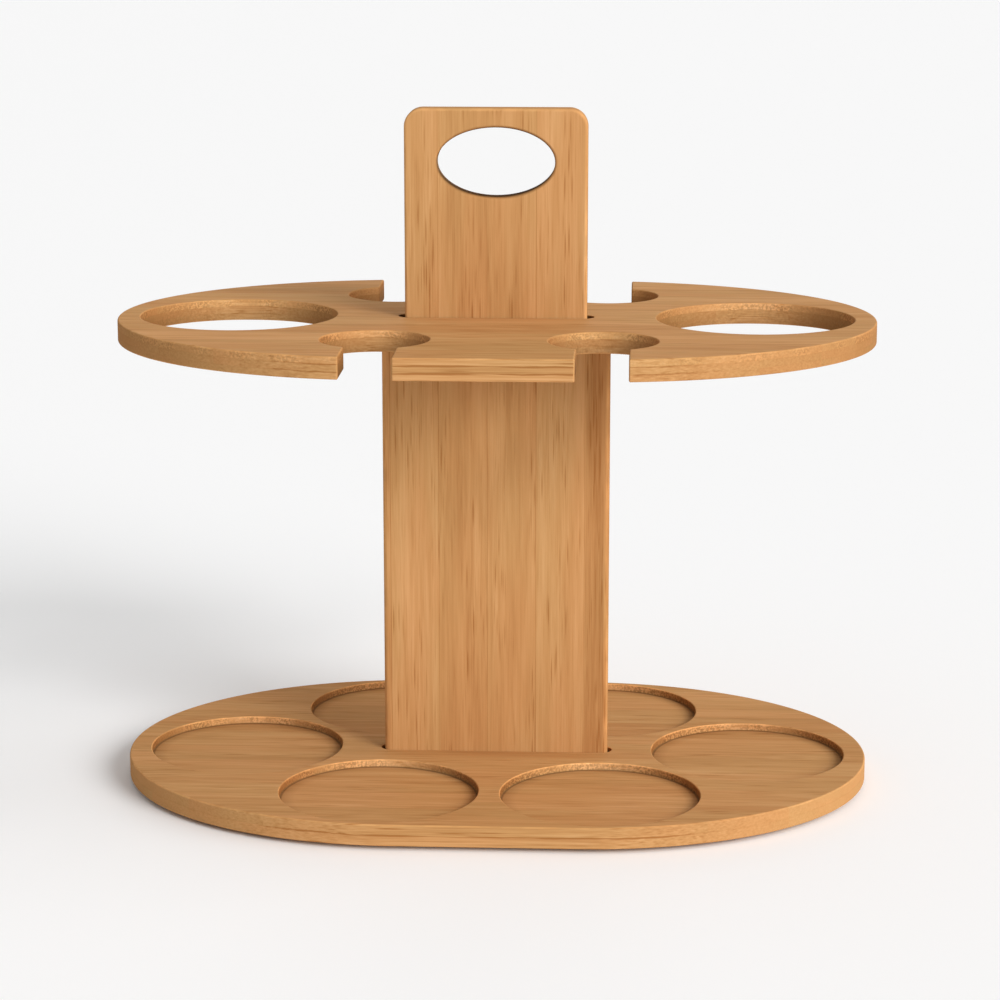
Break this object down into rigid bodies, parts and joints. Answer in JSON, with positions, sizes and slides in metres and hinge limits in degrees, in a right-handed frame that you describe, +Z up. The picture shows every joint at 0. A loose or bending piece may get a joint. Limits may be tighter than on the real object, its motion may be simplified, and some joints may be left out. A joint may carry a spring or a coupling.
{
  "type": "mug tree",
  "caption": "Bamboo tabletop caddy: oval base with shallow round seats, an upright board with an oval finger hole, and an oval lift-off shelf with round holes and keyhole slots.",
  "frame": {"origin": "on the table, at the middle of the base: bottom centre of the bounding box", "axes": "+X along the oval boards, to the right when the viewer faces the caddy; +Y to the back; +Z up, along the upright"},
  "size_m": [0.35, 0.23, 0.3165],
  "materials": {
    "bamboo": "carbonised edge-glued bamboo, sanded, thin satin lacquer",
    "zinc_steel": "zinc-plated steel screw",
    "rubber": "matt black rubber"
  },
  "bodies": {
    "stand": {"base_board": "bamboo", "upright_board": "bamboo", "base_screw_left": "zinc_steel", "base_screw_right": "zinc_steel", "foot_pad_front_left": "rubber", "foot_pad_front_right": "rubber", "foot_pad_back_left": "rubber", "foot_pad_back_right": "rubber"},
    "shelf": {"shelf_board": "bamboo"}
  },
  "joints": [
    {"name": "shelf_lift", "type": "slide", "parent": "stand", "child": "shelf", "axis": [0, 0, 1], "range_m": [0, 0.11]}
  ]
}
